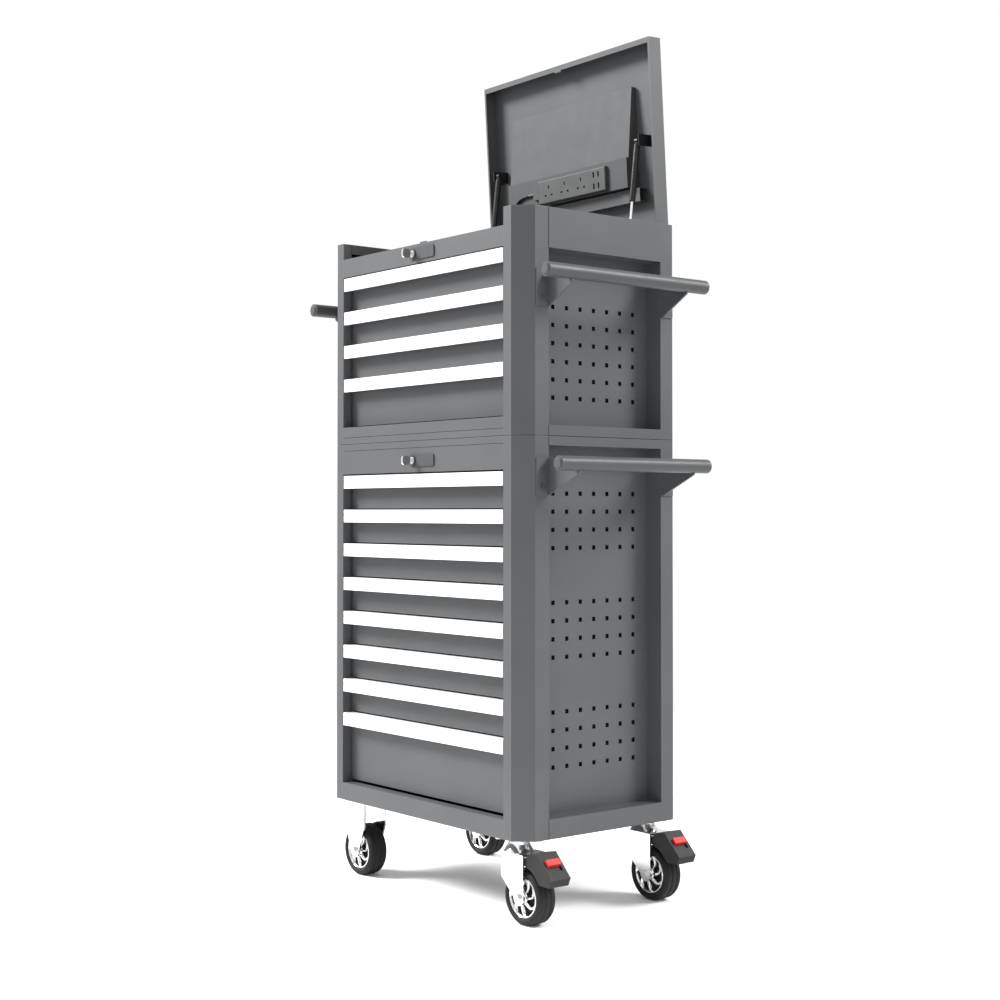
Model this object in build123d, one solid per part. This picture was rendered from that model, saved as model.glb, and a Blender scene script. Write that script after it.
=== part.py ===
from build123d import *
import math
import os

# Rolling tool chest: a lidded four-drawer chest fixed on an eight-drawer roller cabinet.
# Millimetres. +X is to the right as the user faces the drawers, the drawers open towards -Y.
# Shapes are drawn about the middle of the body's footprint, on the floor. The last step moves them, so
# that the origin is on the floor under the middle of the whole object's extent with its lid open.

# Driving sizes of the body
WIDTH = 718
DEPTH = 464
CABINET_BOTTOM = 176
CABINET_TOP = 1000
CHEST_TOP = 1471
SHEET = 1.2
POST_SHEET = 1.5
OPENING = 598
FRONT_CHAMFER = 35
REAR_CHAMFER = 40
RECESS_DEPTH = 45.7
RECESS_FRONT = -161
RECESS_REAR = 157

# Driving sizes of the drawers
DRAWER_PITCH = 78.5
DRAWER_GAP = 3
PULL_HEIGHT = 29
PULL_DEPTH = 25
PULL_SHEET = 2.2
CHEST_DRAWERS = 4
CABINET_DRAWERS = 8
CHEST_FIRST_PULL = 1387.4
CABINET_FIRST_PULL = 927.3
CHEST_LAST_BOTTOM = 1044
CABINET_LAST_BOTTOM = 222
DRAWER_WALL = 1.2
DRAWER_HALF = 286
DRAWER_BACK = 190

# Driving sizes of the peg holes in the side panels
HOLE = 9.5
HOLE_PITCH = 38
HOLE_COLUMNS = 7
HOLE_FRONT = -111.2
CHEST_HOLE_TOP = 1272.7
CABINET_HOLE_TOP = 882.5
CHEST_HOLE_ROWS = [0, 1, 2, 3, 4, 5]
CABINET_HOLE_ROWS = [0, 1, 2, 3, 6, 7, 8, 9, 12, 13, 14, 15]

# Driving sizes of the lid and its gas struts
LID_WIDTH = 592
LID_FLANGE = 35
LID_OPEN = 86.6
HINGE_Y = 222
HINGE_Z = 1448
WELL_FLOOR = 1389
WELL_RAIL = 1433
STRUT_X = 249
STRUT_LOW = (161, 1402)
STRUT_HIGH = (193, 1676)
STRUT_TUBE = 7
STRUT_ROD = 3
STRUT_TUBE_LENGTH = 132
STRUT_PISTON_REST = 13

# Driving sizes of the power lead, in points of its route: the lid's half is given with the lid shut
LEAD_RADIUS = 3.5
LEAD_FLOOR = 1390.5
LEAD_SPLIT = (-110, 222, 1448)
LEAD_START = (-130, 60, 1427)
LID_ROUTE = [
    LEAD_START,
    (-164, 60, 1427),
    (-190, 86, 1427),
    (-190, 122, 1427),
    (-186, 165, 1440),
    (-172, 194, 1448),
    (-146, 222, 1448),
    LEAD_SPLIT,
]
CHEST_ROUTE = [
    LEAD_SPLIT,
    (-76, 222, 1448),
    (-48, 212, 1428),
    (-34, 194, 1400),
    (-24, 161, 1394.3),
    (-16, 127, 1394.3),
]
COIL_CENTRE = (22, 118)
COIL_RADIUS = 42
COIL_HOLE = 17
COIL_HEIGHT = 15

# Driving sizes of the casters
CASTER_X = 283
CASTER_Y = 178
CASTER_TRAIL = 36
WHEEL_RADIUS = 58
WHEEL_WIDTH = 48
FORK_GAP = 27
FORK_SHEET = 4
FORK_HUB = 16
PEDAL_HALF = 25
PEDAL_PIN = (45, -42)

# Driving sizes of the push handles
HANDLE_RADIUS = 15
CHEST_HANDLE = (433, 1328, 234)
CABINET_HANDLE = (453, 941, 219)
HANDLE_REAR_SHORT = 13

# Sizes that follow from the driving ones
HALF_W = WIDTH / 2
HALF_D = DEPTH / 2
FRONT = -HALF_D
REAR = HALF_D
HALF_OPENING = OPENING / 2
PANEL_X = HALF_W - RECESS_DEPTH
DRAWER_FACE = FRONT + PULL_DEPTH
LID_TOP = CHEST_TOP
LID_BOTTOM = LID_TOP - LID_FLANGE

parts = {}


def block(x, y, z):
    """A box between two corners, given as three ranges."""
    size = Box(x[1] - x[0], y[1] - y[0], z[1] - z[0])
    return Pos((x[0] + x[1]) / 2, (y[0] + y[1]) / 2, (z[0] + z[1]) / 2) * size


def rod(centre, radius, length, axis):
    """A round bar about its centre, along the X, Y or Z axis."""
    turn = {"x": Rot(0, 90, 0), "y": Rot(90, 0, 0), "z": Rot(0, 0, 0)}[axis]
    return Pos(*centre) * turn * Cylinder(radius, length)


def mirrored(shape):
    """The shape and its mirror image on the other side of the body."""
    return [shape, mirror(shape, about=Plane.YZ)]


def outline(points):
    """A flat face inside a closed outline."""
    return make_face(Polyline(*points, close=True))


def folded(points, sheet):
    """The flat section of a bent sheet whose outer face runs along the points.

    The metal lies on the left of the way from the first point to the last one.
    """
    normals = []
    for start, end in zip(points, points[1:]):
        run = (end[0] - start[0], end[1] - start[1])
        length = math.hypot(*run)
        normals.append((-run[1] / length, run[0] / length))
    inner = []
    for i, point in enumerate(points):
        before = normals[max(i - 1, 0)]
        after = normals[min(i, len(normals) - 1)]
        scale = sheet / (1 + before[0] * after[0] + before[1] * after[1])
        inner.append((point[0] + scale * (before[0] + after[0]), point[1] + scale * (before[1] + after[1])))
    return outline(list(points) + inner[::-1])


def along_x(section, x):
    """A section drawn in Y and Z, run between two values of X."""
    return extrude(Plane.YZ.offset(x[0]) * section, amount=x[1] - x[0])


def along_y(section, y):
    """A section drawn in X and Z, run between two values of Y."""
    return extrude(Plane.XZ.offset(-y[1]) * section, amount=y[1] - y[0])


def along_z(section, z):
    """A section drawn in X and Y, run between two values of Z."""
    return extrude(Plane.XY.offset(z[0]) * section, amount=z[1] - z[0])


def fused(shapes):
    """All the shapes as one."""
    whole = shapes[0]
    for shape in shapes[1:]:
        whole = whole + shape
    return whole


def keep(name, shapes):
    """Files every solid of the shapes under the name of one node."""
    solids = [solid for shape in shapes for solid in shape.solids()]
    parts[name] = Compound(children=solids)


# ---------------------------------------------------------------- body


def footprint(inset=0):
    """The body's outline seen from above, with its four corners cut."""
    half_w = HALF_W - inset
    front = FRONT + inset
    rear = REAR - inset
    right = [
        (half_w - FRONT_CHAMFER, front),
        (half_w, front + FRONT_CHAMFER),
        (half_w, rear - REAR_CHAMFER),
        (half_w - REAR_CHAMFER, rear),
    ]
    left = [(-x, y) for x, y in reversed(right)]
    return outline(right + left)


def front_post(z):
    """A bent corner post with its cut corner, on the right."""
    section = folded(
        [
            (PANEL_X, RECESS_FRONT),
            (HALF_W, RECESS_FRONT),
            (HALF_W, FRONT + FRONT_CHAMFER),
            (HALF_W - FRONT_CHAMFER, FRONT),
            (HALF_OPENING, FRONT),
            (HALF_OPENING, FRONT + 22),
        ],
        -POST_SHEET,
    )
    return along_z(section, z)


def rear_post(z):
    """The post at the right rear corner."""
    section = folded(
        [
            (PANEL_X, RECESS_REAR),
            (HALF_W, RECESS_REAR),
            (HALF_W, REAR - REAR_CHAMFER),
            (HALF_W - REAR_CHAMFER, REAR),
            (HALF_OPENING, REAR),
        ],
        POST_SHEET,
    )
    return along_z(section, z)


def side_band(points):
    """A bent strip that closes the side above or below a peg panel."""
    return along_y(folded(points, SHEET), (RECESS_FRONT, RECESS_REAR))


def inner_skin(z):
    """The flat inner wall that carries the drawer slides."""
    return block((HALF_OPENING, HALF_OPENING + SHEET), (FRONT + 24, REAR - POST_SHEET), z)


def rear_wall(z):
    return block((-HALF_OPENING, HALF_OPENING), (REAR - SHEET, REAR), z)


def cabinet_shell():
    """The plates and bent strips of the lower body, each butted against its neighbours."""
    low = CABINET_BOTTOM + 2
    high = CABINET_TOP - SHEET
    pieces = [
        along_z(footprint(), (CABINET_BOTTOM, low)),
        along_z(footprint(), (high, CABINET_TOP)),
        rear_wall((low, high)),
        block((-HALF_OPENING, HALF_OPENING), (FRONT, FRONT + SHEET), (985.5, high)),
    ]
    sill = side_band([(PANEL_X, 216), (HALF_W, 216), (HALF_W, low)])
    head = side_band([(HALF_W, high), (HALF_W, 982), (PANEL_X, 982)])
    for shape in (sill, head, inner_skin((low, high))):
        pieces += mirrored(shape)
    return pieces


def chest_shell():
    """The plates and bent strips of the upper body, with the floor of the well under the lid."""
    low = CABINET_TOP + SHEET
    pieces = [
        along_z(footprint(2), (CABINET_TOP, low)),
        rear_wall((low, WELL_RAIL)),
        block((-HALF_OPENING, HALF_OPENING), (FRONT + 27, REAR - SHEET), (WELL_FLOOR, WELL_FLOOR + SHEET)),
        block((-HALF_OPENING, HALF_OPENING), (FRONT, FRONT + SHEET), (low, 1015.5)),
    ]
    sill = side_band([(PANEL_X, 1021), (HALF_W, 1021), (HALF_W, low)])
    cheek = side_band([(HALF_W, CHEST_TOP - SHEET), (HALF_W, 1388), (PANEL_X, 1388)])
    cap = along_z(
        outline(
            [
                (HALF_OPENING, FRONT),
                (HALF_W - FRONT_CHAMFER, FRONT),
                (HALF_W, FRONT + FRONT_CHAMFER),
                (HALF_W, REAR - REAR_CHAMFER),
                (HALF_W - REAR_CHAMFER, REAR),
                (HALF_OPENING, REAR),
            ]
        ),
        (CHEST_TOP - SHEET, CHEST_TOP),
    )
    lip = block((HALF_OPENING, HALF_OPENING + SHEET), (FRONT + 24, REAR - 2), (1449, CHEST_TOP - SHEET))
    for shape in (sill, cheek, cap, lip, inner_skin((low, WELL_RAIL - 2))):
        pieces += mirrored(shape)
    return pieces


def corner_posts():
    posts = []
    for z in ((CABINET_BOTTOM + 2, CABINET_TOP - SHEET), (CABINET_TOP + SHEET, CHEST_TOP - SHEET)):
        posts += mirrored(front_post(z))
        posts += mirrored(rear_post(z))
    return posts


def peg_panel(z, top_row, rows):
    """A recessed side panel with rows of square peg holes."""
    height = z[1] - z[0]
    middle = ((RECESS_FRONT + RECESS_REAR) / 2, (z[0] + z[1]) / 2)
    face = Pos(*middle) * Rectangle(RECESS_REAR - RECESS_FRONT, height)
    places = []
    for row in rows:
        for column in range(HOLE_COLUMNS):
            places.append((HOLE_FRONT + HOLE_PITCH * column, top_row - HOLE_PITCH * row))
    holes = Sketch() + [Pos(*place) * Rectangle(HOLE, HOLE) for place in places]
    return along_x(face - holes, (PANEL_X - POST_SHEET, PANEL_X))


def side_peg_panels():
    cabinet = peg_panel((216, 982), CABINET_HOLE_TOP, CABINET_HOLE_ROWS)
    chest = peg_panel((1021, 1388), CHEST_HOLE_TOP, CHEST_HOLE_ROWS)
    return mirrored(cabinet) + mirrored(chest)


def front_rails():
    """The cross rails between the front posts, with the catch plate on the top one."""
    back = FRONT + 26
    across = (-HALF_OPENING, HALF_OPENING)
    sill = along_x(folded([(FRONT, 178), (FRONT, 216), (back, 216)], -SHEET), across)
    lock = along_x(folded([(back, 931), (FRONT, 931), (FRONT, 984.5)], -SHEET), across)
    foot = along_x(folded([(FRONT, 1016.5), (FRONT, 1040), (back, 1040)], -SHEET), across)
    top_section = [(back, 1390.5), (FRONT, 1390.5), (FRONT, WELL_RAIL), (back, WELL_RAIL)]
    top = along_x(folded(top_section, -SHEET), across)
    catch = block((-24, -2), (FRONT + 22, FRONT + 25), (WELL_RAIL, WELL_RAIL + 9))
    return [sill, lock, foot, top, catch]


# ---------------------------------------------------------------- drawers


def drawer_levels():
    """The top of the pull and the bottom of the front of every drawer, from the top one down."""
    levels = []
    for count, first, last in (
        (CHEST_DRAWERS, CHEST_FIRST_PULL, CHEST_LAST_BOTTOM),
        (CABINET_DRAWERS, CABINET_FIRST_PULL, CABINET_LAST_BOTTOM),
    ):
        for i in range(count):
            top = first - DRAWER_PITCH * i
            bottom = last if i == count - 1 else top - DRAWER_PITCH + DRAWER_GAP
            levels.append((top, bottom))
    return levels


def slide_height(top, bottom):
    return (top + bottom) / 2 - 4


def drawer_box(top, bottom):
    """A folded tray with its wider front, and the slide member on each of its sides."""
    back = (DRAWER_FACE + DRAWER_WALL, DRAWER_BACK)
    tray = block((-DRAWER_HALF, DRAWER_HALF), back, (bottom + 6, top - 16))
    hollow = block(
        (-DRAWER_HALF + DRAWER_WALL, DRAWER_HALF - DRAWER_WALL),
        (back[0], back[1] - DRAWER_WALL),
        (bottom + 6 + DRAWER_WALL, top),
    )
    wide = HALF_OPENING - 3
    face = block((-wide, wide), (DRAWER_FACE, back[0]), (bottom, top - PULL_SHEET - 0.2))
    brow = block((-DRAWER_HALF, DRAWER_HALF), (back[0], back[0] + 9), (top - 17.2, top - 16))
    centre = slide_height(top, bottom)
    member = along_y(
        folded(
            [
                (DRAWER_HALF + 10, centre + 11),
                (DRAWER_HALF, centre + 11),
                (DRAWER_HALF, centre - 11),
                (DRAWER_HALF + 10, centre - 11),
            ],
            1.6,
        ),
        (DRAWER_FACE + 8, DRAWER_BACK - 4),
    )
    return [tray - hollow + face + brow] + mirrored(member)


def drawer_pull(top):
    """An extruded aluminium grip strip with a drip groove, open below and behind for the fingers."""
    face = DRAWER_FACE
    groove = top - 12
    section = outline(
        [
            (face, top),
            (FRONT, top),
            (FRONT, groove + 0.7),
            (FRONT + 0.9, groove),
            (FRONT + 0.9, groove - 0.8),
            (FRONT, groove - 1.5),
            (FRONT, top - PULL_HEIGHT),
            (FRONT + 6, top - PULL_HEIGHT),
            (FRONT + 6, top - PULL_HEIGHT + 2),
            (FRONT + 2.6, top - PULL_HEIGHT + 4),
            (FRONT + 2.6, top - PULL_SHEET),
            (face, top - PULL_SHEET),
        ]
    )
    return [along_x(section, (-HALF_OPENING + 3, HALF_OPENING - 3))]


def slide_rails():
    """The fixed slide members on the inner walls, two to a drawer."""
    rails = []
    for top, bottom in drawer_levels():
        centre = slide_height(top, bottom)
        channel = folded(
            [
                (HALF_OPENING - 10, centre - 17),
                (HALF_OPENING, centre - 17),
                (HALF_OPENING, centre + 17),
                (HALF_OPENING - 10, centre + 17),
            ],
            SHEET,
        )
        rails += mirrored(along_y(channel, (DRAWER_FACE + 6, DRAWER_BACK)))
    return rails


# ---------------------------------------------------------------- lid


def opened(shapes):
    """Lid pieces are drawn with the lid shut and then turned to its open stop."""
    pin = Axis((0, HINGE_Y, HINGE_Z), (1, 0, 0))
    return [shape.rotate(pin, -LID_OPEN) for shape in shapes]


def lid_shell():
    """A shallow pan, open towards the hinges, with a folded lip on its other three sides."""
    half = LID_WIDTH / 2
    front = FRONT + 1
    rear = REAR - 1
    pan = block((-half, half), (front, rear), (LID_BOTTOM, LID_TOP))
    inner = half - SHEET
    hollow = block((-inner, inner), (front + SHEET, rear + 1), (LID_BOTTOM - 1, LID_TOP - SHEET))
    front_lip = block((-half, half), (front, front + 12), (LID_BOTTOM, LID_BOTTOM + SHEET))
    side_lip = block((half - 5, half), (front, rear), (LID_BOTTOM, LID_BOTTOM + SHEET))
    striker = block((-24, -2), (front + 11, front + 16), (LID_BOTTOM - 2, LID_BOTTOM + 12))
    pan = fused([pan - hollow, front_lip, striker] + mirrored(side_lip))
    near = HINGE_Y - 98
    far = HINGE_Y - 128
    low = LID_TOP - 25
    high = LID_TOP - SHEET
    brace = along_x(folded([(near, high), (near, low), (far, low), (far, high)], -1.5), (-235, 235))
    return [pan, brace]


POCKET_HALF = 212
WEDGE_THIN = 13
WEDGE_THICK = 32
BOX_FACE = LID_TOP - 40
STRIP_Y = HINGE_Y - 161.5
STRIP_FACE = BOX_FACE - 9


def lid_pocket():
    """A wedge-shaped cover inside the lid and the deeper box below it, in one bent sheet."""
    skin = LID_TOP - SHEET
    high = HINGE_Y - 360
    step = HINGE_Y - 199
    low = HINGE_Y - 131
    profile = outline(
        [
            (high, skin),
            (high, skin - WEDGE_THIN),
            (step, skin - WEDGE_THICK),
            (step, BOX_FACE),
            (low, BOX_FACE),
            (low, skin),
        ]
    )
    hollow = outline(
        [
            (high + SHEET, skin),
            (high + SHEET, skin - WEDGE_THIN + SHEET),
            (step + SHEET, skin - WEDGE_THICK + SHEET),
            (step + SHEET, BOX_FACE + SHEET),
            (low - SHEET, BOX_FACE + SHEET),
            (low - SHEET, skin),
        ]
    )
    sheet = along_x(profile, (-POCKET_HALF, POCKET_HALF))
    inside = along_x(hollow, (-POCKET_HALF + SHEET, POCKET_HALF - SHEET))
    return [sheet - inside]


def power_strip():
    """A three-socket strip with four charging ports, an end block and a tapered strain relief."""
    middle = STRIP_Y
    face = STRIP_FACE
    body = block((-91, 148), (middle - 27.5, middle + 27.5), (face, BOX_FACE))
    body = fillet(body.edges().group_by(Axis.Z)[0], 2.5)
    slots = []
    for x in (-52, 6, 64):
        slots.append(block((x - 2, x + 2), (middle - 14, middle - 6), (face - 1, face + 6)))
        for side in (-1, 1):
            prong = x + 11 * side
            slots.append(block((prong - 3.3, prong + 3.3), (middle + 7, middle + 11), (face - 1, face + 6)))
    for x in (109, 125):
        for y in (-13, 13):
            port = middle + y
            slots.append(block((x - 2.7, x + 2.7), (port - 6.5, port + 6.5), (face - 1, face + 6)))
    body = body - fused(slots)
    end_block = block((LEAD_START[0] + 20, -91), (middle - 20, middle + 14), (face + 1, BOX_FACE))
    relief = Pos(LEAD_START[0] + 10, *LEAD_START[1:]) * Rot(0, 90, 0) * Cone(LEAD_RADIUS + 0.1, 3.9, 20)
    return [fused([body, end_block]), relief]


def hinge_plates():
    """Three butt hinges: the chest leaf with its outer knuckles and pin, and the lid leaf."""
    fixed, moving = [], []
    wall = REAR - SHEET
    for x in (-220, 0, 220):
        leaf = block((x - 35, x + 35), (wall - 2, wall), (HINGE_Z - 50, HINGE_Z - 7.5))
        for side in (-1, 1):
            middle = x + 23.5 * side
            knuckle = rod((middle, HINGE_Y, HINGE_Z), 4, 23, "x")
            web = block((middle - 11.5, middle + 11.5), (HINGE_Y, wall), (HINGE_Z - 4, HINGE_Z - 2))
            stay = block((middle - 11.5, middle + 11.5), (wall - 2, wall), (HINGE_Z - 8, HINGE_Z - 2))
            leaf = leaf + knuckle + web + stay
        pin = rod((x, HINGE_Y, HINGE_Z), 2, 70, "x")
        fixed.append(leaf + pin)
        barrel = rod((x, HINGE_Y, HINGE_Z), 4, 23.6, "x")
        plate = block((x - 30, x + 30), (HINGE_Y - 20, HINGE_Y + 4), (LID_TOP - SHEET - 2, LID_TOP - SHEET))
        web = block((x - 11.8, x + 11.8), (HINGE_Y + 2, HINGE_Y + 4), (HINGE_Z, LID_TOP - SHEET))
        barrel = barrel + plate + web - rod((x, HINGE_Y, HINGE_Z), 2.05, 30, "x")
        moving.append(barrel)
    return fixed, opened(moving)


def strut_chest_brackets():
    """Low brackets on the well floor that hold the rod ends between two ears."""
    brackets = []
    y, z = STRUT_LOW
    for side in (-1, 1):
        x = side * STRUT_X
        ears = []
        for ear in (x - 5.5, x + 5.5):
            ears.append(block((ear - 1.2, ear + 1.2), (y - 8, y + 8), (WELL_FLOOR + SHEET, z + 5)))
        foot = block((x - 12, x + 12), (y - 14, y + 14), (WELL_FLOOR + SHEET, WELL_FLOOR + SHEET + 1.5))
        brackets.append(fused([foot, rod((x, y, z), 2, 14, "x")] + ears))
    return brackets


def strut_lid_brackets():
    """Angle brackets on the lid whose stud stops beside the cylinder's eye."""
    brackets = []
    closing = math.radians(LID_OPEN)
    dy = STRUT_HIGH[0] - HINGE_Y
    dz = STRUT_HIGH[1] - HINGE_Z
    y = HINGE_Y + dy * math.cos(closing) - dz * math.sin(closing)
    z = HINGE_Z + dy * math.sin(closing) + dz * math.cos(closing)
    for side in (-1, 1):
        inner = side * (STRUT_X + 10)
        outer = side * (STRUT_X + 13)
        low, high = sorted((inner, outer))
        arm = block((low, high), (y - 13, y + 13), (z - 8, LID_TOP - SHEET))
        span = sorted((inner, side * (STRUT_X + 36)))
        foot = block(span, (y - 13, y + 13), (LID_TOP - SHEET - 3, LID_TOP - SHEET))
        stud = rod((side * (STRUT_X + 9), y, z), 3, 3, "x")
        brackets.append(fused([arm, foot, stud]))
    return opened(brackets)


def strut_pieces(side):
    """One gas strut: the rod with its lower eye, and the cylinder with its upper eye."""
    low = Vector(0, *STRUT_LOW)
    high = Vector(0, *STRUT_HIGH)
    run = (high - low).normalized()
    lean = math.degrees(math.atan2(-run.Y, run.Z))
    length = (high - low).length
    place = Pos(side * STRUT_X, *STRUT_LOW) * Rot(lean, 0, 0)
    tube_end = length - 8
    tube_start = tube_end - STRUT_TUBE_LENGTH
    tube = Pos(0, 0, (tube_start + tube_end) / 2) * Cylinder(STRUT_TUBE, STRUT_TUBE_LENGTH)
    tube = fillet(tube.edges(), 1.5)
    bore_depth = STRUT_TUBE_LENGTH - 6
    bore = Pos(0, 0, tube_start + bore_depth / 2) * Cylinder(STRUT_ROD + 0.05, bore_depth)
    chamber = Pos(0, 0, tube_start + 8 + (bore_depth - 8) / 2) * Cylinder(STRUT_TUBE - 1.5, bore_depth - 8)
    eye = Pos(0, 0, length) * Rot(0, 90, 0) * Cylinder(6, 9)
    cylinder = tube - bore - chamber + Pos(0, 0, length - 5) * Cylinder(4, 8) + eye
    bar_end = tube_start + STRUT_PISTON_REST
    bar = Pos(0, 0, (4 + bar_end) / 2) * Cylinder(STRUT_ROD, bar_end - 4)
    piston = Pos(0, 0, bar_end + 3) * Cylinder(STRUT_TUBE - 1.6, 6)
    ring = Rot(0, 90, 0) * (Cylinder(5.5, 7) - Cylinder(2.05, 7))
    shaft = bar + piston + ring
    return place * shaft, place * cylinder


# ---------------------------------------------------------------- power lead



def lead_tube(points):
    """A round lead along straight runs joined by arcs as large as the runs allow."""
    runs = [Vector(*b) - Vector(*a) for a, b in zip(points, points[1:])]
    radii = []
    for before, after in zip(runs, runs[1:]):
        turn = math.radians(before.get_angle(after))
        radii.append(0.45 * min(before.length, after.length) / math.tan(turn / 2))
    path = FilletPolyline(*points, radius=radii)
    tube = sweep(Plane(origin=path @ 0, z_dir=path % 0) * Circle(LEAD_RADIUS), path=path)
    area = math.pi * LEAD_RADIUS**2
    print("lead radii", [round(value) for value in radii], "length", round(path.length))
    print("lead volume over section times length", round(tube.volume / (area * path.length), 4))
    return tube


def lead_coil():
    """The outer shape of the coiled part of the lead, on the floor of the well."""
    ring = Cylinder(COIL_RADIUS, COIL_HEIGHT) - Cylinder(COIL_HOLE, COIL_HEIGHT)
    ring = fillet(ring.edges().filter_by(GeomType.CIRCLE), 3)
    return Pos(*COIL_CENTRE, LEAD_FLOOR + COIL_HEIGHT / 2) * ring


def lead_plug():
    """The plug with its tapered relief, which leaves the coil on the side away from the tube."""
    x = COIL_CENTRE[0] + COIL_RADIUS - LEAD_RADIUS
    y = COIL_CENTRE[1] + 4
    z = LEAD_FLOOR + 11
    relief = Pos(x, y + 12, z) * Rot(-90, 0, 0) * Cone(LEAD_RADIUS, 6, 24)
    body = block((x - 13, x + 13), (y + 24, y + 52), (LEAD_FLOOR, LEAD_FLOOR + 20))
    body = fillet(body.edges().filter_by(Axis.Y), 4)
    pins = [block((x + dx - 3, x + dx + 3), (y + 50, y + 68), (z - 1, z + 1)) for dx in (-6.5, 6.5)]
    return fused([relief, body] + pins)


# ---------------------------------------------------------------- casters


def wheel(centre):
    """A rubber tyre with rounded shoulders on a five-spoke rim with its bearing bore."""
    radius = WHEEL_RADIUS
    half = WHEEL_WIDTH / 2
    tyre = Cylinder(radius, WHEEL_WIDTH)
    tyre = fillet(tyre.edges(), 9) - Cylinder(radius - 13, WHEEL_WIDTH)
    rim = Cylinder(radius - 13, WHEEL_WIDTH - 6) - Cylinder(radius - 18, WHEEL_WIDTH - 6)
    hub = Cylinder(13, WHEEL_WIDTH + 2)
    spokes = []
    for i in range(5):
        spoke = Pos(25, 0, 0) * Box(34, 11, WHEEL_WIDTH - 14)
        spokes.append(Rot(0, 0, 72 * i) * spoke)
    rim = fused([rim, hub] + spokes) - Cylinder(5.05, 2 * half + 4)
    turn = Pos(*centre) * Rot(90, 0, 0)
    return [turn * tyre, turn * rim]


def fork(x, y, axle_x, top):
    """Two fork plates between two values of X at the top, round about the axle, with crown and axle bolt."""
    outer = FORK_GAP + FORK_SHEET
    low = top - 52
    cheek = outline(
        [
            (x[0], top),
            (x[0], low),
            (axle_x - FORK_HUB, WHEEL_RADIUS),
            (axle_x + FORK_HUB, WHEEL_RADIUS),
            (x[1], low),
            (x[1], top),
        ]
    )
    cheek = cheek + Pos(axle_x, WHEEL_RADIUS) * Circle(FORK_HUB)
    plates = [along_y(cheek, (y - outer, y - FORK_GAP)), along_y(cheek, (y + FORK_GAP, y + outer))]
    crown = block(x, (y - outer, y + outer), (top - FORK_SHEET, top))
    axle = rod((axle_x, y, WHEEL_RADIUS), 5, 2 * outer + 8, "y")
    for side in (-1, 1):
        head = Pos(axle_x, y + side * (outer + 3), WHEEL_RADIUS) * Rot(90, 0, 0)
        axle = axle + head * extrude(RegularPolygon(8, 6), amount=3, both=True)
    return fused(plates + [crown, axle])


def caster_plates():
    """Four mounting plates with their bolts, and the upper race of each swivel."""
    solids = []
    for x in (-CASTER_X, CASTER_X):
        for y in (-CASTER_Y, CASTER_Y):
            plate = block((x - 46, x + 46), (y - 32, y + 32), (CABINET_BOTTOM - 5, CABINET_BOTTOM))
            bolts = []
            for dx in (-38, 38):
                for dy in (-24, 24):
                    head = extrude(RegularPolygon(6, 6), amount=2.5, both=True)
                    bolts.append(Pos(x + dx, y + dy, CABINET_BOTTOM - 7.5) * head)
            plate = fused([plate] + bolts)
            if x > 0:
                race = rod((x, y, CABINET_BOTTOM - 5.5), 17, 1, "z")
                kingpin = rod((x, y, CABINET_BOTTOM - 21), 6, 32, "z")
                plate = fused([plate, race, kingpin])
            solids.append(plate)
    return solids


def swivel_fork(y):
    """The chrome cup under the plate and the trailing fork that turns with it."""
    x = CASTER_X
    top = CABINET_BOTTOM - 30
    cup = Pos(x, y, top + 11.6) * Cone(32, 18, 23.2)
    rim = block((x - 32, x), (y - 20, y + 20), (top - FORK_SHEET, top))
    body = fused([fork((x - 20, x + 50), y, x + CASTER_TRAIL, top), cup, rim])
    pin = rod((x + PEDAL_PIN[0], y, CABINET_BOTTOM + PEDAL_PIN[1]), 2.5, 2 * (FORK_GAP + FORK_SHEET), "y")
    bore = rod((x, y, CABINET_BOTTOM - 21), 6.05, 60, "z")
    return [body - bore + pin]


def brake_pedal(y):
    """The plastic brake pedal between the fork plates, with its red release tab in a pocket."""
    x = CASTER_X
    base = CABINET_BOTTOM
    crest = (x + 88, base - 21)
    toe = (x + 134, base - 68)
    side = outline(
        [
            (x + 39, base - 37.5),
            (x + 51, base - 37.5),
            (x + 60, base - 27),
            crest,
            toe,
            (x + 127, base - 84),
            (x + 90, base - 84),
            (x + 60, base - 56),
            (x + 39, base - 52),
        ]
    )
    side = side - Pos(x + CASTER_TRAIL, WHEEL_RADIUS) * Circle(WHEEL_RADIUS + 9)
    body = along_y(side, (y - PEDAL_HALF, y + PEDAL_HALF))
    body = body - rod((x + PEDAL_PIN[0], y, base + PEDAL_PIN[1]), 2.55, 80, "y")
    slope = math.degrees(math.atan2(crest[1] - toe[1], toe[0] - crest[0]))
    seat = Pos((crest[0] + toe[0]) / 2, y, (crest[1] + toe[1]) / 2) * Rot(0, slope, 0)
    tab = seat * Pos(-6, 0, 1) * Box(13.6, 33.6, 10)
    return [body - seat * Box(26, 34, 8), tab]


# ---------------------------------------------------------------- handles


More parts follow.
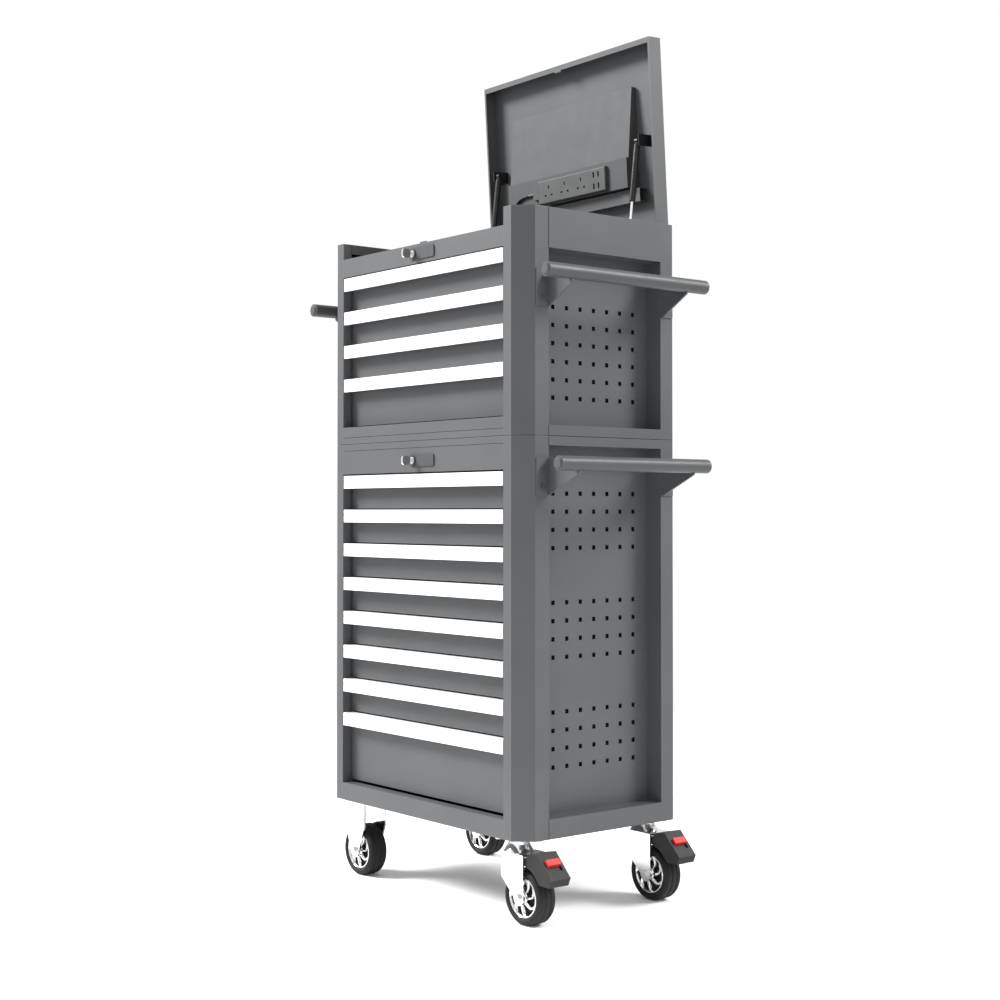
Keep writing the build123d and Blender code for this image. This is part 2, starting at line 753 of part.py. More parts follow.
def handle(reach, height, half_length, side):
    """A round tube with domed plugs, in two gusset brackets screwed to the posts."""
    x = side * reach
    front = -half_length
    rear = half_length - HANDLE_REAR_SHORT
    middle = (front + rear) / 2
    length = rear - front
    tube = rod((x, middle, height), HANDLE_RADIUS, length - 24, "y")
    tube = tube - rod((x, middle, height), HANDLE_RADIUS - 2, length, "y")
    plugs = []
    for end, outward in ((front, -1), (rear, 1)):
        plug = rod((x, end - 8 * outward, height), HANDLE_RADIUS, 8, "y")
        dome = Pos(x, end - 12 * outward, height) * Sphere(HANDLE_RADIUS)
        slice_y = sorted((end - 4 * outward, end))
        cap = dome & block((x - 20, x + 20), slice_y, (height - 20, height + 20))
        plugs.append(plug + cap)
    brackets, screws = [], []
    for y, inner in ((-179, RECESS_FRONT - 4), (174.5, RECESS_REAR + 4)):
        toward = 1 if y < 0 else -1
        plate_y = sorted((inner + toward * 4, inner))
        flange_y = sorted((y - 16 * toward, inner + toward * 4))
        wall = sorted((side * HALF_W, side * (HALF_W + 3)))
        flange = block(wall, flange_y, (height - 62, height + 14))
        gusset = outline(
            [
                (side * HALF_W, height + 14),
                (side * HALF_W, height - 62),
                (side * (HALF_W + 6), height - 62),
                (x + side * 6, height - HANDLE_RADIUS - 3),
                (x, height),
                (side * (HALF_W + 8), height + 14),
            ]
        )
        bracket = flange + along_y(gusset, plate_y)
        brackets.append(bracket - rod((x, 0, height), HANDLE_RADIUS, 600, "y"))
        for dz in (-46, -10):
            head = Pos(side * (HALF_W + 4.2), y, height + dz) * Rot(0, 90, 0) * Cylinder(5.5, 2.4)
            screws.append(head)
    return tube, plugs, brackets, screws


# ---------------------------------------------------------------- locks

LOCKS = {"chest_lock": 1412, "cabinet_lock": 957}
LOCK_X = -16
KEY_REACH = 32


def lock_plates():
    plates = []
    for z in LOCKS.values():
        plate = block((-29, 60), (FRONT - 3, FRONT), (z - 13, z + 13))
        plate = fillet(plate.edges().filter_by(Axis.Y), 5)
        collar = rod((LOCK_X, FRONT - 4, z), 10.5, 4, "y")
        plates.append(plate + collar - rod((LOCK_X, FRONT - 3, z), 8.05, 10, "y"))
    return plates


def lock_core(z):
    """A lock barrel with its key left in, and the cam behind the rail."""
    barrel = rod((LOCK_X, FRONT - 3.5, z), 8, 5, "y")
    blade = block((LOCK_X - 1.2, LOCK_X + 1.2), (FRONT - 14, FRONT - 6), (z - 4, z + 4))
    bow = block((LOCK_X - 3, LOCK_X + 3), (FRONT - KEY_REACH, FRONT - 13), (z - 10, z + 10))
    bow = fillet(bow.edges().filter_by(Axis.X), 6)
    return [barrel + blade + bow]


# ---------------------------------------------------------------- all nodes


def build():
    keep("cabinet_shell", cabinet_shell())
    keep("chest_shell", chest_shell())
    keep("corner_posts", corner_posts())
    keep("side_peg_panels", side_peg_panels())
    keep("front_rails", front_rails())
    keep("slide_rails", slide_rails())
    for number, (top, bottom) in enumerate(drawer_levels(), 1):
        keep(f"drawer_box_{number:02d}", drawer_box(top, bottom))
        keep(f"drawer_pull_{number:02d}", drawer_pull(top))
    keep("lid_shell", opened(lid_shell()))
    keep("lid_pocket", opened(lid_pocket()))
    keep("power_strip", opened(power_strip()))
    fixed, moving = hinge_plates()
    keep("hinge_chest_leaves", fixed)
    keep("hinge_lid_leaves", moving)
    keep("strut_chest_brackets", strut_chest_brackets())
    keep("strut_lid_brackets", strut_lid_brackets())
    struts = [strut_pieces(side) for side in (-1, 1)]
    keep("strut_rods", [shaft for shaft, cylinder in struts])
    keep("strut_cylinders", [cylinder for shaft, cylinder in struts])
    keep("lead_on_lid", opened([lead_tube(LID_ROUTE)]))
    keep("lead_in_well", [lead_tube(CHEST_ROUTE)])
    keep("lead_coil", [lead_coil()])
    keep("lead_plug", [lead_plug()])
    tubes, plugs, brackets, screws = [], [], [], []
    for size, side in ((CHEST_HANDLE, -1), (CHEST_HANDLE, 1), (CABINET_HANDLE, 1)):
        made = handle(*size, side)
        tubes.append(made[0])
        plugs += made[1]
        brackets += made[2]
        screws += made[3]
    keep("handle_tubes", tubes)
    keep("handle_end_plugs", plugs)
    keep("handle_brackets", brackets)
    keep("handle_screws", screws)
    keep("caster_plates", caster_plates())
    fixed_span = (-CASTER_X - 40, -CASTER_X + 40)
    fixed_forks = [fork(fixed_span, y, -CASTER_X, CABINET_BOTTOM - 5) for y in (-CASTER_Y, CASTER_Y)]
    keep("fixed_caster_forks", fixed_forks)
    for name, y in (("front", -CASTER_Y), ("rear", CASTER_Y)):
        keep(f"swivel_fork_{name}", swivel_fork(y))
        keep(f"brake_pedal_{name}", brake_pedal(y))
        keep(f"wheel_{name}_right", wheel((CASTER_X + CASTER_TRAIL, y, WHEEL_RADIUS)))
        keep(f"wheel_{name}_left", wheel((-CASTER_X, y, WHEEL_RADIUS)))
    keep("lock_plates", lock_plates())
    for name, z in LOCKS.items():
        keep(name, lock_core(z))


build()
lean = math.radians(LID_OPEN)
reach_back = HINGE_Y + (REAR - 1 - HINGE_Y) * math.cos(lean) + (LID_TOP - HINGE_Z) * math.sin(lean)
origin_x = (CABINET_HANDLE[0] - CHEST_HANDLE[0]) / 2
origin_y = (reach_back + FRONT - KEY_REACH) / 2
print("origin moved by", round(-origin_x, 3), round(-origin_y, 3))
os.makedirs("parts", exist_ok=True)
for node, shape in parts.items():
    export_step(shape.moved(Location((-origin_x, -origin_y, 0))), f"parts/{node}.step")
print(len(parts), "nodes")
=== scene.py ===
import math

import bmesh
import bpy
from mathutils import Matrix, Vector

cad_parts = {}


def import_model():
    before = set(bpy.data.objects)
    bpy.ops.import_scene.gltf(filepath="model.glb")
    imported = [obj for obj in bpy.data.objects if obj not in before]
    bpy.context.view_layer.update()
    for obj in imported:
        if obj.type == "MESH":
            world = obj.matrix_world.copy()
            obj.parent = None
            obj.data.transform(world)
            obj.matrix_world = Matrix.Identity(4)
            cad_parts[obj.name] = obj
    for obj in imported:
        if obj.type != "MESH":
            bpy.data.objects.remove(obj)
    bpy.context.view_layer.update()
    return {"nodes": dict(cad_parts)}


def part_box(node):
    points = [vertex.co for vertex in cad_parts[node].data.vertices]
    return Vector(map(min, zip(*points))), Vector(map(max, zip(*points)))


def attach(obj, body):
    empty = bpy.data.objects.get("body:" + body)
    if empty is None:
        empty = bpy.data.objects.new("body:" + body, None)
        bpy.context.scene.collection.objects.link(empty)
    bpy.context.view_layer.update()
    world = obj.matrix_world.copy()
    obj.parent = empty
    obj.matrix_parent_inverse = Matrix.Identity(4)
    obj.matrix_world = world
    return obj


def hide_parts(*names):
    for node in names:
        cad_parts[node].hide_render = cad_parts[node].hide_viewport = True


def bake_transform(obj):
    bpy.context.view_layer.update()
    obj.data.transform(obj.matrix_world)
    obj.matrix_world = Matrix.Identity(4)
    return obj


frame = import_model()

NODES = frame["nodes"]

# Sizes in metres. The lead's route and the lid's pin are given before ORIGIN moves them into the packed
# frame, and the route's lid end is given with the lid shut.
WHEEL_RADIUS = 0.058
WHEEL_WIDTH = 0.048
RIM_RADIUS = 0.043
SPOKES = 7
DISC_HALF = 0.012
SHOULDER = 0.010
GROOVE = 0.007
GROOVE_HALF = 0.0012
ARC_STEPS = 8
LEAD_RADIUS = 0.0035
LID_OPEN = math.radians(86.6)
ORIGIN = Vector((-0.010, 0.009253, 0))
LID_PIN = Vector((0, 0.222, 1.448))
LID_ROUTE = [
    (-0.130, 0.060, 1.427),
    (-0.164, 0.060, 1.427),
    (-0.190, 0.086, 1.427),
    (-0.190, 0.122, 1.427),
    (-0.186, 0.165, 1.440),
    (-0.172, 0.194, 1.448),
    (-0.146, 0.222, 1.448),
    (-0.110, 0.222, 1.448),
]
WELL_ROUTE = [
    (-0.076, 0.222, 1.448),
    (-0.048, 0.212, 1.428),
    (-0.034, 0.194, 1.400),
    (-0.024, 0.161, 1.3943),
    (-0.016, 0.127, 1.3943),
]
COIL_CENTRE = Vector((0.022, 0.118))
COIL_RADII = (0.0382, 0.0309, 0.0236)
COIL_FLOOR = 1.3943
COIL_LAYER = 0.0072
COIL_ENTRY = math.radians(167)
COIL_EXIT = math.radians(360)
FLOOR_FADE = (1.2, 3.4)
FLOOR_HALF = 60
AIM = (0, 0, 0.9)
CAMERA_PLACE = (2.90154, -2.31322, 0.84509)
CAMERA_YAW = math.radians(51.452)
CAMERA_RISE = math.radians(1.123)
CAMERA_LENS = 58.85
CAMERA_SHIFT = -0.02065

# ---------------------------------------------------------------- materials


class Material:
    """A node material with small helpers; constants go straight on the shader's sockets."""

    def __init__(self, name, roughness, metallic=0.0, coat=0.0):
        self.data = bpy.data.materials.new(name)
        self.data.use_nodes = True
        self.nodes = self.data.node_tree.nodes
        self.links = self.data.node_tree.links
        self.shader = self.nodes["Principled BSDF"]
        self.shader.inputs["Roughness"].default_value = roughness
        self.shader.inputs["Metallic"].default_value = metallic
        self.shader.inputs["Coat Weight"].default_value = coat
        self.coords = self.nodes.new("ShaderNodeTexCoord").outputs["Object"]

    def noise(self, scale, detail=4.0, stretch=(1, 1, 1)):
        mapping = self.nodes.new("ShaderNodeMapping")
        mapping.inputs["Scale"].default_value = stretch
        texture = self.nodes.new("ShaderNodeTexNoise")
        texture.inputs["Scale"].default_value = scale
        texture.inputs["Detail"].default_value = detail
        self.links.new(self.coords, mapping.inputs["Vector"])
        self.links.new(mapping.outputs["Vector"], texture.inputs["Vector"])
        return texture.outputs["Fac"]

    def ramp(self, source, low, high, start=0.3, end=0.7):
        ramp = self.nodes.new("ShaderNodeValToRGB")
        ramp.color_ramp.elements[0].position = start
        ramp.color_ramp.elements[0].color = low
        ramp.color_ramp.elements[1].position = end
        ramp.color_ramp.elements[1].color = high
        self.links.new(source, ramp.inputs["Fac"])
        return ramp.outputs["Color"]

    def span(self, source, low, high):
        span = self.nodes.new("ShaderNodeMapRange")
        span.inputs["To Min"].default_value = low
        span.inputs["To Max"].default_value = high
        self.links.new(source, span.inputs["Value"])
        return span.outputs["Result"]

    def edge_wear_and_highlight(self, colour, worn_and_highlight, amount, radius=0.0012):
        """Mixes in a paler tone where a rounded normal leaves the flat one: partly rubbed-edge wear,
        partly a painted edge highlight.
        """
        bevel = self.nodes.new("ShaderNodeBevel")
        bevel.samples = 4
        bevel.inputs["Radius"].default_value = radius
        geometry = self.nodes.new("ShaderNodeNewGeometry")
        dot = self.nodes.new("ShaderNodeVectorMath")
        dot.operation = "DOT_PRODUCT"
        self.links.new(bevel.outputs["Normal"], dot.inputs[0])
        self.links.new(geometry.outputs["Normal"], dot.inputs[1])
        edge = self.nodes.new("ShaderNodeMapRange")
        edge.inputs["From Min"].default_value = 0.99
        edge.inputs["From Max"].default_value = 0.75
        edge.inputs["To Max"].default_value = amount
        self.links.new(dot.outputs["Value"], edge.inputs["Value"])
        broken = self.nodes.new("ShaderNodeMath")
        broken.operation = "MULTIPLY"
        self.links.new(edge.outputs["Result"], broken.inputs[0])
        self.links.new(self.noise(90, 3), broken.inputs[1])
        mix = self.nodes.new("ShaderNodeMix")
        mix.data_type = "RGBA"
        self.links.new(broken.outputs[0], mix.inputs["Factor"])
        self.links.new(colour, mix.inputs["A"])
        mix.inputs["B"].default_value = worn_and_highlight
        return mix.outputs["Result"]

    def colour(self, socket):
        self.links.new(socket, self.shader.inputs["Base Color"])

    def roughen(self, socket):
        self.links.new(socket, self.shader.inputs["Roughness"])

    def bump(self, height, strength, distance):
        bump = self.nodes.new("ShaderNodeBump")
        bump.inputs["Strength"].default_value = strength
        bump.inputs["Distance"].default_value = distance
        self.links.new(height, bump.inputs["Height"])
        self.links.new(bump.outputs["Normal"], self.shader.inputs["Normal"])


def tone(value, tint=(1.0, 1.0, 1.0)):
    return (value * tint[0], value * tint[1], value * tint[2], 1.0)


COOL = (0.97, 1.0, 1.04)


def painted(name, value, roughness, spread=0.06, worn_and_highlight=0.24):
    """Satin powder coat: slight cloudiness, fine orange peel, and paler edges that are partly rubbed wear
    and partly a painted highlight.
    """
    made = Material(name, roughness, 0.0, 0.02)
    made.shader.inputs["Specular IOR Level"].default_value = 0.3
    cloud = made.ramp(made.noise(7, 5), tone(value * (1 - spread), COOL), tone(value * (1 + spread), COOL))
    # Paler edges: partly rubbed wear, partly a painted edge highlight.
    made.colour(made.edge_wear_and_highlight(cloud, tone(worn_and_highlight, COOL), 0.5))
    made.roughen(made.span(made.noise(35, 6), roughness - 0.06, roughness + 0.07))
    made.bump(made.noise(1100, 2), 0.12, 0.0002)
    return made.data


def bright_metal(name, value, roughness, stretch=(1, 1, 1), grain=0.05):
    """Polished or drawn metal, with grain along one way and faint smears."""
    made = Material(name, roughness, 1.0)
    lines = made.noise(260, 3, stretch)
    made.colour(made.ramp(made.noise(14, 4), tone(value * 0.94), tone(value)))
    made.roughen(made.span(lines, roughness - grain / 2, roughness + grain))
    made.bump(lines, 0.06, 0.0001)
    return made.data


def anodised(name, value):
    """Bright anodised extrusion with fine lines along its length."""
    made = Material(name, 0.38, 0.25, 0.1)
    lines = made.noise(420, 3, (0.02, 1, 1))
    base = made.ramp(lines, tone(value * 0.97), tone(value))
    # Paler edges: partly rubbed wear, partly a painted edge highlight.
    made.colour(made.edge_wear_and_highlight(base, tone(0.98), 0.6))
    made.roughen(made.span(lines, 0.32, 0.45))
    made.bump(lines, 0.08, 0.00012)
    return made.data


def moulded(name, value, roughness, tint=(1.0, 1.0, 1.0)):
    """Spark-textured moulded plastic."""
    made = Material(name, roughness)
    made.shader.inputs["Specular IOR Level"].default_value = 0.28
    cloud = made.ramp(made.noise(25, 4), tone(value * 0.88, tint), tone(value * 1.12, tint))
    # Paler edges: partly rubbed wear, partly a painted edge highlight.
    made.colour(made.edge_wear_and_highlight(cloud, tone(value * 1.9 + 0.01, tint), 0.45))
    made.roughen(made.span(made.noise(60, 4), roughness - 0.07, roughness + 0.08))
    made.bump(made.noise(1500, 2), 0.22, 0.0002)
    return made.data


PAINT = painted("grey_powder_coat", 0.074, 0.52)
DRAWER_PAINT = painted("drawer_powder_coat", 0.071, 0.5)
TUBE_PAINT = painted("tube_paint", 0.058, 0.46)
BLACK_PAINT = painted("black_gloss_paint", 0.012, 0.22, 0.1, 0.12)
ZINC = bright_metal("zinc_plate", 0.62, 0.34)
CHROME = bright_metal("bright_chrome", 0.74, 0.1, (1, 1, 1), 0.03)
ROD_STEEL = bright_metal("rod_steel", 0.85, 0.14, (1, 1, 0.05))
PULL = anodised("pull_anodised", 0.93)
GREY_PLASTIC = moulded("grey_plastic", 0.05, 0.55, COOL)
# A darker copy of the grey powder coat for the lid pocket. This is painted shade that offsets the key
# light falling more strongly on its tilted face.
POCKET_PAINTED_SHADE = painted("pocket_coat_painted_shade", 0.056, 0.62)
STRIP = moulded("strip_plastic", 0.06, 0.5, (0.96, 1.03, 1.0))
BLACK_PLASTIC = moulded("black_plastic", 0.009, 0.5)
RED_PLASTIC = moulded("red_plastic", 0.5, 0.42, (1.0, 0.05, 0.04))
RUBBER = moulded("tyre_rubber", 0.007, 0.68)
CABLE = moulded("cable_jacket", 0.009, 0.48)


def set_material(node, material):
    """Gives every face of a node one material."""
    mesh = node.data
    mesh.materials.clear()
    mesh.materials.append(material)
    for polygon in mesh.polygons:
        polygon.material_index = 0


BY_PREFIX = [
    ("drawer_box", DRAWER_PAINT),
    ("drawer_pull", PULL),
    ("swivel_fork", CHROME),
    ("brake_pedal", BLACK_PLASTIC),
    ("wheel", RUBBER),
]
BY_NAME = {
    "slide_rails": ZINC,
    "hinge_chest_leaves": ZINC,
    "hinge_lid_leaves": ZINC,
    "strut_chest_brackets": BLACK_PAINT,
    "strut_lid_brackets": BLACK_PAINT,
    "strut_rods": ROD_STEEL,
    "strut_cylinders": BLACK_PAINT,
    "handle_tubes": TUBE_PAINT,
    "handle_end_plugs": TUBE_PAINT,
    "handle_screws": TUBE_PAINT,
    "caster_plates": ZINC,
    "fixed_caster_forks": CHROME,
    "lock_plates": GREY_PLASTIC,
    "chest_lock": CHROME,
    "cabinet_lock": CHROME,
    "lid_pocket": POCKET_PAINTED_SHADE,
    "power_strip": STRIP,
    "lead_on_lid": CABLE,
    "lead_in_well": CABLE,
    "lead_coil": CABLE,
    "lead_plug": BLACK_PLASTIC,
}


def pick(name):
    """The material for a node: by the start of its name, by its name, or the grey paint."""
    for prefix, material in BY_PREFIX:
        if name.startswith(prefix):
            return material
    return BY_NAME.get(name, PAINT)


def islands(mesh):
    """The loose parts of a mesh, each as a set of polygon indices."""
    parent = list(range(len(mesh.vertices)))

    def find(i):
        while parent[i] != i:
            parent[i] = parent[parent[i]]
            i = parent[i]
        return i

    where = {}
    for vertex in mesh.vertices:
        key = tuple(round(c, 6) for c in vertex.co)
        first = where.setdefault(key, vertex.index)
        parent[find(vertex.index)] = find(first)
    for edge in mesh.edges:
        parent[find(edge.vertices[0])] = find(edge.vertices[1])
    groups = {}
    for polygon in mesh.polygons:
        groups.setdefault(find(polygon.vertices[0]), []).append(polygon.index)
    return list(groups.values())


def paint_red_tab(node):
    """The release tab is the smaller of a pedal's two solids."""
    node.data.materials.append(RED_PLASTIC)
    smallest = min(islands(node.data), key=len)
    for index in smallest:
        node.data.polygons[index].material_index = 1


for name, node in NODES.items():
    set_material(node, pick(name))
for place in ("front", "rear"):
    paint_red_tab(NODES[f"brake_pedal_{place}"])

# ---------------------------------------------------------------- mesh helpers


def mesh_object(name, vertices, faces, material, smooth=True):
    """A new object from vertices and faces, with one material."""
    mesh = bpy.data.meshes.new(name)
    mesh.from_pydata(vertices, [], faces)
    mesh.update()
    for polygon in mesh.polygons:
        polygon.use_smooth = smooth
    mesh.materials.append(material)
    made = bpy.data.objects.new(name, mesh)
    bpy.context.scene.collection.objects.link(made)
    return made


def lathe(name, profile, centre, material, steps=96):
    """A closed ring about the Y axis, from a profile of (radius, y) points."""
    count = len(profile)
    vertices = []
    for i in range(steps):
        angle = 2 * math.pi * i / steps
        for radius, y in profile:
            vertices.append(centre + Vector((radius * math.cos(angle), y, radius * math.sin(angle))))
    faces = []
    for i in range(steps):
        for j in range(count):
            a, b = i * count + j, i * count + (j + 1) % count
            c, d = ((i + 1) % steps) * count + (j + 1) % count, ((i + 1) % steps) * count + j
            faces.append((a, b, c, d))
    return mesh_object(name, vertices, faces, material)


# ---------------------------------------------------------------- wheels


def tyre_profile():
    """A rounded tread with two grooves, from one bead across to the other."""
    half = WHEEL_WIDTH / 2
    points = [(RIM_RADIUS, -half + 0.004)]
    for k in range(ARC_STEPS + 1):
        angle = math.pi / 2 * k / ARC_STEPS
        radius = WHEEL_RADIUS - SHOULDER + SHOULDER * math.sin(angle)
        points.append((radius, -half + SHOULDER - SHOULDER * math.cos(angle)))
    for groove in (-GROOVE, GROOVE):
        points.append((WHEEL_RADIUS, groove - GROOVE_HALF))
        points.append((WHEEL_RADIUS - GROOVE_HALF, groove - GROOVE_HALF / 2))
        points.append((WHEEL_RADIUS - GROOVE_HALF, groove + GROOVE_HALF / 2))
        points.append((WHEEL_RADIUS, groove + GROOVE_HALF))
    for k in range(ARC_STEPS + 1):
        angle = math.pi / 2 * (1 - k / ARC_STEPS)
        radius = WHEEL_RADIUS - SHOULDER + SHOULDER * math.sin(angle)
        points.append((radius, half - SHOULDER + SHOULDER * math.cos(angle)))
    points.append((RIM_RADIUS, half - 0.004))
    return points


def rim_profile():
    """The bright ring inside the tyre, dished towards its middle."""
    half = WHEEL_WIDTH / 2 - 0.004
    return [
        (RIM_RADIUS, -half),
        (RIM_RADIUS - 0.002, -half - 0.0012),
        (RIM_RADIUS - 0.005, -half + 0.002),
        (RIM_RADIUS - 0.006, 0),
        (RIM_RADIUS - 0.005, half - 0.002),
        (RIM_RADIUS - 0.002, half + 0.0012),
        (RIM_RADIUS, half),
    ]


def hub_profile():
    """The hub, with a hole for the axle."""
    half = WHEEL_WIDTH / 2 - 0.001
    one_side = [(0.0052, half), (0.011, half), (0.014, half - 0.004)]
    return [(radius, -y) for radius, y in one_side] + one_side[::-1]


def disc_profile():
    """The dark web behind the spokes, dished slightly towards its middle."""
    edge = RIM_RADIUS - 0.004
    one_side = [(0.013, DISC_HALF - 0.003), (0.026, DISC_HALF - 0.001), (edge, DISC_HALF)]
    return [(radius, -y) for radius, y in one_side] + one_side[::-1]


def spoke(name, centre, angle, side):
    """A curved blade from the hub to the rim, swept back and tapering outwards."""
    steps = 10
    half = WHEEL_WIDTH / 2
    vertices = []
    for i in range(steps + 1):
        t = i / steps
        radius = 0.012 + t * (RIM_RADIUS - 0.015)
        turn = angle + 0.55 * t * t
        width = 0.0036 + 0.0044 * t
        face = side * (half - 0.002 - 0.003 * math.sin(math.pi * t))
        back = face - side * 0.007
        out = Vector((math.cos(turn), 0, math.sin(turn)))
        across = Vector((-math.sin(turn), 0, math.cos(turn)))
        for offset, depth in ((-width, back), (-width * 0.5, face), (width * 0.5, face), (width, back)):
            vertices.append(centre + out * radius + across * offset + Vector((0, depth, 0)))
    faces = [(3, 2, 1, 0)]
    for i in range(steps):
        for j in range(4):
            a, b = i * 4 + j, i * 4 + (j + 1) % 4
            faces.append((a, b, b + 4, a + 4))
    last = steps * 4
    faces.append((last, last + 1, last + 2, last + 3))
    return mesh_object(name, vertices, faces, CHROME)


def join(name, pieces):
    """One object from several meshes."""
    mesh = bpy.data.meshes.new(name)
    joined = bmesh.new()
    for piece in pieces:
        joined.from_mesh(piece.data)
        bpy.data.objects.remove(piece)
    bmesh.ops.recalc_face_normals(joined, faces=joined.faces)
    joined.to_mesh(mesh)
    joined.free()
    mesh.materials.append(CHROME)
    made = bpy.data.objects.new(name, mesh)
    bpy.context.scene.collection.objects.link(made)
    return made


def soften(piece, width, segments=2):
    """Rounds the sharp edges."""
    bevel = piece.modifiers.new("edges", "BEVEL")
    bevel.width = width
    bevel.segments = segments
    bevel.limit_method = "ANGLE"


def wheel(node):
    """Replaces a plain wheel with a tyre, a spoked rim and the dark web behind the spokes."""
    low, high = (Vector(corner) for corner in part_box(node))
    centre = (low + high) / 2
    tyre = lathe(f"{node}_tyre", tyre_profile(), centre, RUBBER)
    pieces = [lathe("ring", rim_profile(), centre, CHROME), lathe("hub", hub_profile(), centre, CHROME)]
    for side in (-1, 1):
        for i in range(SPOKES):
            pieces.append(spoke("spoke", centre, 2 * math.pi * i / SPOKES, side))
    rim = join(f"{node}_rim", pieces)
    soften(rim, 0.0006)
    disc = lathe(f"{node}_web", disc_profile(), centre, BLACK_PLASTIC)
    for piece, slot in ((tyre, "wheel_rubber"), (rim, "chrome"), (disc, "wheel_rubber")):
        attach(piece, node)
    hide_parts(node)


for place in ("front", "rear"):
    soften(NODES[f"brake_pedal_{place}"], 0.0025, 3)
    for side in ("left", "right"):
        wheel(f"wheel_{place}_{side}")

# ---------------------------------------------------------------- power lead


def opened(point):
    """A point given with the lid shut, where it lies with the lid open."""
    turn = Matrix.Rotation(-LID_OPEN, 3, "X")
    return LID_PIN + turn @ (Vector(point) - LID_PIN)


def route_points(control):
    """Points read from the route's smooth spline."""
    data = bpy.data.curves.new("route", "CURVE")
    data.dimensions = "3D"
    data.resolution_u = 12
    spline = data.splines.new("NURBS")
    spline.points.add(len(control) - 1)
    for point, place in zip(spline.points, control):
        point.co = (*place, 1)
    spline.order_u = 3
    spline.use_endpoint_u = True
    holder = bpy.data.objects.new("route", data)
    bpy.context.scene.collection.objects.link(holder)
    bpy.context.view_layer.update()
    mesh = bpy.data.meshes.new_from_object(holder)
    points = [vertex.co.copy() for vertex in mesh.vertices]
    bpy.data.objects.remove(holder)
    return points


def coil_points():
    """The turns of the coil: one layer winding inwards, then one back out above it to the plug."""
    points = []
    turns = [(radius, 0) for radius in COIL_RADII] + [(radius, 1) for radius in COIL_RADII[::-1]]
    steps = 40
    for k, (radius, layer) in enumerate(turns):
        last = k == len(turns) - 1
        following = turns[k] if last else turns[k + 1]
        sweep = COIL_EXIT - COIL_ENTRY if last else 2 * math.pi
        for i in range(steps + int(last)):
            t = i / steps
            ease = max(0.0, (t - 0.75) / 0.25)
            r = radius + (following[0] - radius) * ease
            z = COIL_FLOOR + COIL_LAYER * (layer + (following[1] - layer) * ease)
            angle = COIL_ENTRY + sweep * t
            place = COIL_CENTRE + Vector((r * math.cos(angle), r * math.sin(angle)))
            points.append(Vector((place.x, place.y, z)))
    return points


def tube(name, path, radius, material, sides=14):
    """A round tube along points, closed at both ends."""
    vertices = []
    normal = Vector((0, 0, 1))
    for i, point in enumerate(path):
        ahead = path[min(i + 1, len(path) - 1)] - path[max(i - 1, 0)]
        ahead.normalize()
        normal = (normal - ahead * normal.dot(ahead)).normalized()
        across = ahead.cross(normal)
        for j in range(sides):
            angle = 2 * math.pi * j / sides
            vertices.append(point + radius * (normal * math.cos(angle) + across * math.sin(angle)))
    faces = [tuple(range(sides))[::-1]]
    for i in range(len(path) - 1):
        for j in range(sides):
            a, b = i * sides + j, i * sides + (j + 1) % sides
            faces.append((a, b, b + sides, a + sides))
    last = (len(path) - 1) * sides
    faces.append(tuple(range(last, last + sides)))
    return mesh_object(name, vertices, faces, material)


def power_lead():
    """The lead from the strip across the hinge line to its coil and plug in the well."""
    control = [opened(p) + ORIGIN for p in LID_ROUTE] + [Vector(p) + ORIGIN for p in WELL_ROUTE]
    path = route_points(control) + [point + ORIGIN for point in coil_points()][1:]
    lead = tube("power_lead", path, LEAD_RADIUS, CABLE)
    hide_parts("lead_on_lid", "lead_in_well", "lead_coil")
    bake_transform(lead)


power_lead()

# ---------------------------------------------------------------- floor, lights and camera


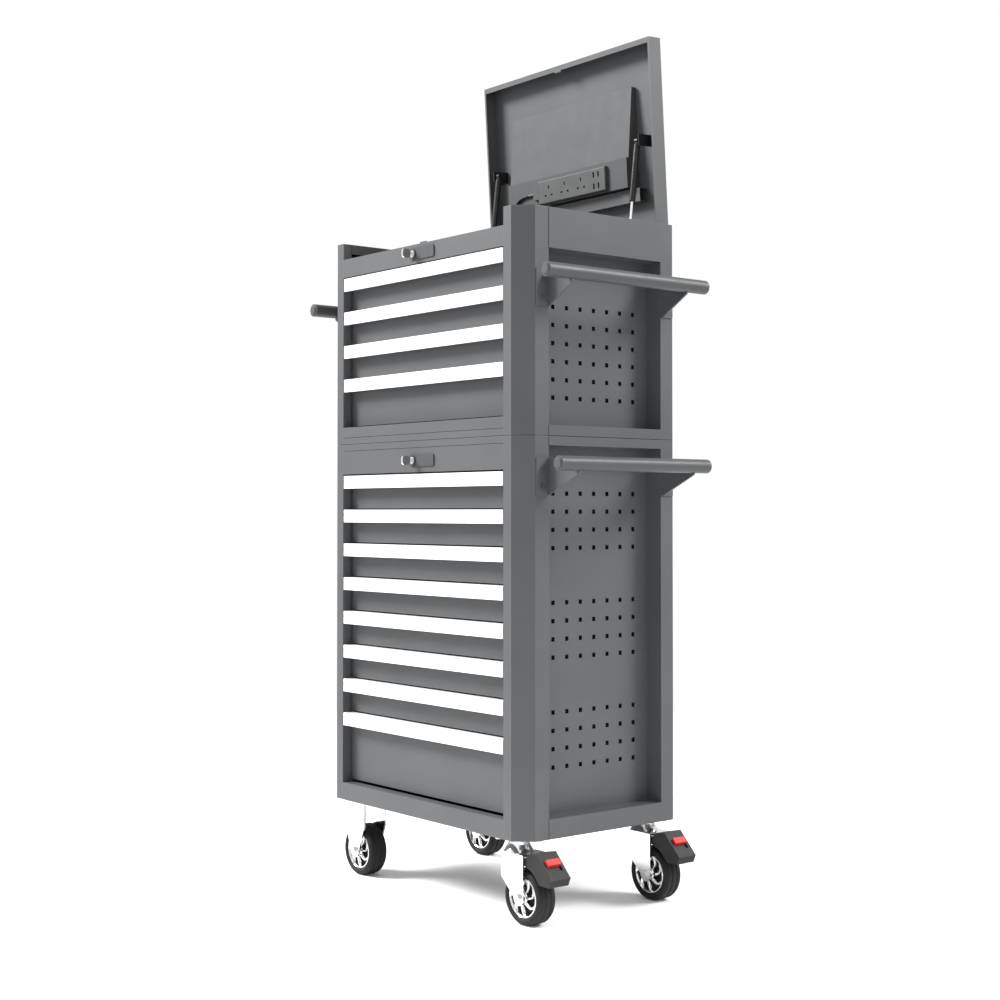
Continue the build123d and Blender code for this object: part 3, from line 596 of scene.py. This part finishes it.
def floor():
    """A pale floor that fades into the white surroundings away from the object."""
    material = Material("floor_white", 0.7)
    material.colour(material.ramp(material.noise(0.5, 2), tone(0.93), tone(0.95)))
    distance = material.nodes.new("ShaderNodeVectorMath")
    distance.operation = "LENGTH"
    material.links.new(material.coords, distance.inputs[0])
    fade = material.nodes.new("ShaderNodeMapRange")
    fade.inputs["From Min"].default_value = FLOOR_FADE[0]
    fade.inputs["From Max"].default_value = FLOOR_FADE[1]
    material.links.new(distance.outputs["Value"], fade.inputs["Value"])
    glow = material.nodes.new("ShaderNodeEmission")
    glow.inputs["Color"].default_value = tone(1.0)
    mix = material.nodes.new("ShaderNodeMixShader")
    material.links.new(fade.outputs["Result"], mix.inputs["Fac"])
    material.links.new(material.shader.outputs["BSDF"], mix.inputs[1])
    material.links.new(glow.outputs["Emission"], mix.inputs[2])
    material.links.new(mix.outputs["Shader"], material.nodes["Material Output"].inputs["Surface"])
    corners = [(-FLOOR_HALF, -FLOOR_HALF, 0), (FLOOR_HALF, -FLOOR_HALF, 0)]
    corners += [(FLOOR_HALF, FLOOR_HALF, 0), (-FLOOR_HALF, FLOOR_HALF, 0)]
    mesh_object("floor", corners, [(0, 1, 2, 3)], material.data)


def area_light(name, place, target, size, power):
    """A square soft light aimed at a point."""
    data = bpy.data.lights.new(name, "AREA")
    data.size = size
    data.energy = power
    light = bpy.data.objects.new(name, data)
    light.location = place
    light.rotation_euler = (Vector(target) - Vector(place)).to_track_quat("-Z", "Y").to_euler()
    bpy.context.scene.collection.objects.link(light)


def world():
    """Even white surroundings."""
    made = bpy.data.worlds.new("studio")
    made.use_nodes = True
    background = made.node_tree.nodes["Background"]
    background.inputs["Color"].default_value = (1, 1, 1, 1)
    background.inputs["Strength"].default_value = 1.0
    bpy.context.scene.world = made


def camera():
    """The viewing angle that the picture was taken from."""
    data = bpy.data.cameras.new("camera")
    data.lens = CAMERA_LENS
    data.sensor_width = 36
    data.shift_y = CAMERA_SHIFT
    data.clip_end = 200
    made = bpy.data.objects.new("camera", data)
    made.location = CAMERA_PLACE
    made.rotation_euler = (math.radians(90) + CAMERA_RISE, 0, CAMERA_YAW)
    bpy.context.scene.collection.objects.link(made)
    bpy.context.scene.camera = made


floor()
area_light("key", (-5.0, -5.0, 6.5), AIM, 3.0, 1650)
area_light("fill", (5.0, 5.0, 6.0), AIM, 3.0, 820)
world()
camera()
bpy.context.scene.view_settings.view_transform = "Standard"
